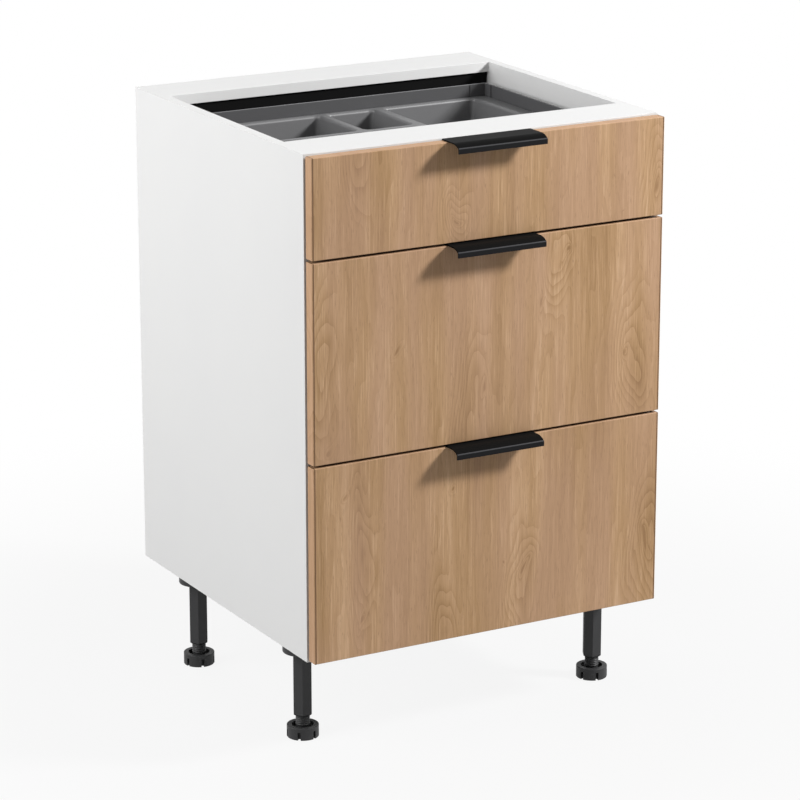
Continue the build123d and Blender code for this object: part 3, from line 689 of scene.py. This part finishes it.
def model_screw(countersunk):
    """Screw along Z with its shank below, its seat at the origin."""
    begin()
    if countersunk:
        bpy.ops.mesh.primitive_cone_add(vertices=HEAD_SIDES, radius1=SHANK_RADIUS, radius2=HEAD_RADIUS,
                                        depth=SINK_DEPTH, location=(0.0, 0.0, -SINK_DEPTH / 2))
    else:
        bpy.ops.mesh.primitive_cylinder_add(vertices=HEAD_SIDES, radius=HEAD_RADIUS, depth=HEAD_HEIGHT,
                                            location=(0.0, 0.0, HEAD_HEIGHT / 2))
    screw = bpy.context.object
    bpy.ops.object.transform_apply(location=True)
    bpy.ops.object.mode_set(mode="EDIT")
    if not countersunk:
        pick(screw, "EDGE", lambda edge: min(v.co.z for v in edge.verts) > HEAD_HEIGHT - NEAR)
        bpy.ops.mesh.bevel(offset=HEAD_ROUND, segments=3, affect="EDGES")
    pick(screw, "FACE", faces_down)
    if not countersunk:
        bpy.ops.mesh.inset(thickness=HEAD_RADIUS - SHANK_RADIUS)
    pull(-SHANK_LENGTH)
    pull(-TIP_LENGTH)
    bpy.ops.transform.resize(value=(TIP_SHARE, TIP_SHARE, 1.0))
    bpy.ops.object.mode_set(mode="OBJECT")
    return screw


pan_screw = model_screw(countersunk=False)
flush_screw = model_screw(countersunk=True)
print("screw models:", len(pan_screw.data.polygons), "and", len(flush_screw.data.polygons), "faces")

# %% [markdown]
# The punch is a block that narrows downwards. It cuts once along and once across, which makes the cross.

# %% Cross recesses
CROSS_LONG = 4.0 * MM
CROSS_WIDE = 0.9 * MM
CROSS_DEEP = 1.0 * MM
PUNCH_TAPER = 0.7
SMOOTH_BELOW = math.radians(35)


def press_cross(screw, level):
    """Cut a cross into a screw whose head ends at a level, then give it its looks."""
    for size in ((CROSS_LONG, CROSS_WIDE), (CROSS_WIDE, CROSS_LONG)):
        begin()
        bpy.ops.mesh.primitive_cube_add(size=1.0, location=(0.0, 0.0, level))
        punch = bpy.context.object
        punch.scale = (*size, 2 * CROSS_DEEP)
        bpy.ops.object.transform_apply(location=True, scale=True)
        bpy.ops.object.mode_set(mode="EDIT")
        pick(punch, "FACE", faces_down)
        bpy.ops.transform.resize(value=(PUNCH_TAPER, PUNCH_TAPER, 1.0))
        bpy.ops.object.mode_set(mode="OBJECT")
        apply_modifier(screw, "BOOLEAN", operation="DIFFERENCE", object=punch)
        bpy.data.objects.remove(punch)
    begin()
    screw.select_set(True)
    bpy.ops.object.shade_smooth_by_angle(angle=SMOOTH_BELOW)
    screw.data.materials.append(zinc)


press_cross(pan_screw, HEAD_HEIGHT)
press_cross(flush_screw, 0.0)
print("with a cross:", len(pan_screw.data.polygons), "and", len(flush_screw.data.polygons), "faces")

# %% [markdown]
# The screws go where the solids have them: two in each cabinet runner, and in each front two behind the
# handle and two in the brackets. The copies of one kind on one body are joined to one piece, so that the list
# of pieces stays short.

# %% Screws in the runners
RUNNER_STEEL = 1.2 * MM
RUNNER_SCREW_INSET = 40.0 * MM
UPRIGHT = (0.0, 0.0, 1.0)


def copies(model, name, places, body):
    """One piece of copies of a model, one at each place, with its Z axis turned along a direction."""
    begin()
    made = []
    for place, direction in places:
        copy = model.copy()
        copy.data = model.data.copy()
        scene.collection.objects.link(copy)
        turn = Vector(UPRIGHT).rotation_difference(Vector(direction)).to_matrix().to_4x4()
        copy.data.transform(Matrix.Translation(place) @ turn)
        copy.select_set(True)
        made.append(copy)
    piece = made[0]
    bpy.context.view_layer.objects.active = piece
    bpy.ops.object.join()
    piece.name = name
    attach(piece, body)
    print(name, "has", len(places), "copies and", len(piece.data.polygons), "faces")
    return piece


spots = []
for name in drawer_names:
    low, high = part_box(f"{name}_cabinet_runners")
    for side in (-1, 1):
        for y in (low.y + RUNNER_SCREW_INSET, high.y - RUNNER_SCREW_INSET):
            spot = Vector((side * (high.x - RUNNER_STEEL), y, (low.z + high.z) / 2))
            spots.append((spot, (-side, 0.0, 0.0)))
runner_screws = copies(pan_screw, "cross_runner_screws", spots, "cabinet")
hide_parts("runner_screws")

# %% Screws in the fronts
BACKWARD = (0.0, 1.0, 0.0)
HANDLE_SCREW_ASIDE = 55.0 * MM
HANDLE_SCREW_DOWN = 10.0 * MM
BRACKET_SCREW = Vector((-6.75, 2.0, 65.85)) * MM
for name in drawer_names:
    front_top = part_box(f"{name}_drawer_front")[1].z
    leg_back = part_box(f"{name}_drawer_handle")[1].y
    bracket_low, bracket_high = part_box(f"{name}_drawer_brackets")
    floor_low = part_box(f"{name}_drawer_floor")[0].z
    handle_spots = []
    bracket_spots = []
    for side in (-1, 1):
        handle_spot = Vector((side * HANDLE_SCREW_ASIDE, leg_back, front_top - HANDLE_SCREW_DOWN))
        handle_spots.append((handle_spot, BACKWARD))
        bracket_spot = Vector((side * (bracket_high.x + BRACKET_SCREW.x), bracket_low.y + BRACKET_SCREW.y,
                               floor_low + BRACKET_SCREW.z))
        bracket_spots.append((bracket_spot, BACKWARD))
    body = f"{name}_drawer"
    handle_screws = copies(flush_screw, f"{name}_cross_handle_screws", handle_spots, body)
    copies(pan_screw, f"{name}_cross_bracket_screws", bracket_spots, body)
    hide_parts(f"{name}_drawer_screws")
for model in (pan_screw, flush_screw):
    bpy.data.objects.remove(model)

# %% [markdown]
# ### Balls in their cages
# Steel balls carry the runners. A punched cage holds them at even distances, so that they can't meet.
# One link of cage with its ball is modelled and repeated by an array along the runner. The link has open
# ends, so the array can weld the links to one strip, and only the strip's two ends are closed. The ball
# stands a little out of the cage on both sides, as it must to roll. The balls are ground and polished, so
# they are the brightest metal, with only a trace of haze.

# %% Polished balls
ball_steel, tree, shader, place = new_material("polished_ball_steel")
haze = add(tree, "ShaderNodeTexNoise", {"Vector": place, "Scale": 1 / (1.5 * MM), "Detail": 1.0})
shade = add(tree, "ShaderNodeMix", {"Factor": haze, "A": linear("#D2D3D6"), "B": linear("#E2E2E2")},
            data_type="RGBA")
gloss = add(tree, "ShaderNodeMapRange", {"Value": haze, "To Min": 0.08, "To Max": 0.18})
connect(tree, shader, {"Base Color": shade, "Roughness": gloss, "Metallic": 1.0})
print(ball_steel.name, "has", len(tree.nodes), "nodes")

# %% One link and its ball
BALL_PITCH = 14.0 * MM
BALL_RADIUS = 1.85 * MM
CAGE_PROUD = 0.1 * MM
EDGE_ROUND = 0.3 * MM
PANEL_RIM = 0.5 * MM
PANEL_DEEP = 0.08 * MM


def model_link(wide, high):
    """One pitch of cage along Y from the origin, wide in X and high in Z, and its ball."""
    begin()
    middle = (0.0, BALL_PITCH / 2, 0.0)
    bpy.ops.mesh.primitive_cube_add(size=1.0, location=middle)
    link = bpy.context.object
    link.scale = (wide + 2 * CAGE_PROUD, BALL_PITCH, high + 2 * CAGE_PROUD)
    bpy.ops.object.transform_apply(location=True, scale=True)
    bpy.ops.object.mode_set(mode="EDIT")
    pick(link, "EDGE", lambda edge: abs(edge.verts[0].co.y - edge.verts[1].co.y) > BALL_PITCH / 2)
    bpy.ops.mesh.bevel(offset=EDGE_ROUND, segments=2, affect="EDGES")
    pick(link, "FACE", lambda face: abs(face.normal.x) > FLAT)
    bpy.ops.mesh.inset(thickness=PANEL_RIM, depth=-PANEL_DEEP, use_individual=True)
    pick(link, "FACE", lambda face: abs(face.normal.y) > FLAT)
    bpy.ops.mesh.delete(type="ONLY_FACE")
    bpy.ops.object.mode_set(mode="OBJECT")
    link.data.materials.append(zinc)
    bpy.ops.mesh.primitive_ico_sphere_add(subdivisions=2, radius=BALL_RADIUS, location=middle)
    ball = bpy.context.object
    bpy.ops.object.transform_apply(location=True)
    bpy.ops.object.shade_smooth()
    ball.data.materials.append(ball_steel)
    print("a link of", len(link.data.polygons), "faces and a ball of", len(ball.data.polygons))
    return link, ball


# %% Rows of links
ROW_END = 6.0 * MM
ROW_WIDE = 3.0 * MM
ROW_LOW = {"middle": 18.0 * MM, "drawer": 13.0 * MM}


def model_ball_row(wide, high, length):
    """Cage with balls along Y, in the middle of a length that starts at the origin."""
    link, ball = model_link(wide, high)
    count = int((length - 2 * ROW_END) / BALL_PITCH)
    for piece in (ball, link):
        apply_modifier(piece, "ARRAY", count=count, use_relative_offset=False, use_constant_offset=True,
                       constant_offset_displace=(0.0, BALL_PITCH, 0.0), use_merge_vertices=True,
                       merge_threshold=NEAR)
    begin()
    link.select_set(True)
    bpy.ops.object.mode_set(mode="EDIT")
    bpy.ops.mesh.select_all(action="SELECT")
    bpy.ops.mesh.fill_holes(sides=0)
    bpy.ops.object.mode_set(mode="OBJECT")
    ball.select_set(True)
    bpy.ops.object.join()
    link.data.transform(Matrix.Translation((0.0, (length - count * BALL_PITCH) / 2, 0.0)))
    return link


for member, row_low in ROW_LOW.items():
    runner_boxes = {name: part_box(f"{name}_{member}_runners") for name in drawer_names}
    low, high = runner_boxes["top"]
    row_high = (high.z - low.z) / 2
    row_middle = (row_high + row_low) / 2
    model = model_ball_row(ROW_WIDE, row_high - row_low, high.y - low.y)
    for name, (low, high) in runner_boxes.items():
        spots = []
        for side in (-1, 1):
            for way in (-1, 1):
                x = side * (high.x - ROW_WIDE / 2)
                z = (low.z + high.z) / 2 + way * row_middle
                spots.append((Vector((x, low.y, z)), UPRIGHT))
        body = f"{name}_runner_middle" if member == "middle" else f"{name}_drawer"
        copies(model, f"{name}_{member}_ball_rows", spots, body)
    bpy.data.objects.remove(model)

# %% [markdown]
# ### Rivets and stops
# The rear brackets of the deep drawers are riveted to the steel back. A rivet's dome is a short cylinder
# whose upper face is drawn in and lifted twice, which needs fewer faces than half a sphere.
# At the back of each runner a moulded stop catches the middle member when the drawer closes. It is a block
# with a dished front face and rounded edges.

# %% Rivets
RIVET_RADIUS = 3.5 * MM
RIVET_RIM = 0.6 * MM
RIVET_SIDES = 20
RIVET_DOME = ((0.5 * MM, 0.8), (0.3 * MM, 0.6))
RIVET_SMOOTH_BELOW = math.radians(50)
RIVET_LEVELS = (50.0 * MM, 110.0 * MM, 168.0 * MM)
BRACKET_MIDDLE = 15.0 * MM
BRACKET_SHEET = 1.5 * MM
FORWARD = (0.0, -1.0, 0.0)
begin()
bpy.ops.mesh.primitive_cylinder_add(vertices=RIVET_SIDES, radius=RIVET_RADIUS, depth=RIVET_RIM,
                                    location=(0.0, 0.0, RIVET_RIM / 2))
rivet = bpy.context.object
bpy.ops.object.transform_apply(location=True)
bpy.ops.object.mode_set(mode="EDIT")
pick(rivet, "FACE", lambda face: face.normal.z > FLAT)
for lift, share in RIVET_DOME:
    pull(lift)
    bpy.ops.transform.resize(value=(share, share, 1.0))
bpy.ops.object.mode_set(mode="OBJECT")
bpy.ops.object.shade_smooth_by_angle(angle=RIVET_SMOOTH_BELOW)
rivet.data.materials.append(steel)
for name in ("middle", "bottom"):
    low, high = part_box(f"{name}_drawer_back")
    spots = []
    for side in (-1, 1):
        for level in RIVET_LEVELS:
            spot = Vector((side * (high.x - BRACKET_MIDDLE), low.y - BRACKET_SHEET, low.z + level))
            spots.append((spot, FORWARD))
    copies(rivet, f"{name}_bracket_rivets", spots, f"{name}_drawer")
bpy.data.objects.remove(rivet)

# %% End stops
STOP_SIZE = Vector((5.6, 10.0, 22.0)) * MM
STOP_RIM = 1.2 * MM
STOP_DISH = 1.0 * MM
STOP_ROUND = 0.6 * MM
STOP_GAP = 1.5 * MM
begin()
bpy.ops.mesh.primitive_cube_add(size=1.0)
stop = bpy.context.object
stop.scale = STOP_SIZE
bpy.ops.object.transform_apply(scale=True)
bpy.ops.object.mode_set(mode="EDIT")
pick(stop, "FACE", lambda face: face.normal.y < -FLAT)
bpy.ops.mesh.inset(thickness=STOP_RIM)
bpy.ops.transform.translate(value=(0.0, STOP_DISH, 0.0))
pick(stop, "EDGE", lambda edge: abs(edge.verts[0].co.x - edge.verts[1].co.x) < NEAR)
bpy.ops.mesh.bevel(offset=STOP_ROUND, segments=2, affect="EDGES")
bpy.ops.object.mode_set(mode="OBJECT")
bpy.ops.object.shade_smooth_by_angle(angle=SMOOTH_BELOW)
stop.data.materials.append(leg_plastic)
spots = []
for name in drawer_names:
    low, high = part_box(f"{name}_cabinet_runners")
    for side in (-1, 1):
        spot = Vector((side * (high.x - RUNNER_STEEL - STOP_SIZE.x / 2), high.y - STOP_GAP - STOP_SIZE.y / 2,
                       (low.z + high.z) / 2))
        spots.append((spot, UPRIGHT))
copies(stop, "runner_stops", spots, "cabinet")
bpy.data.objects.remove(stop)
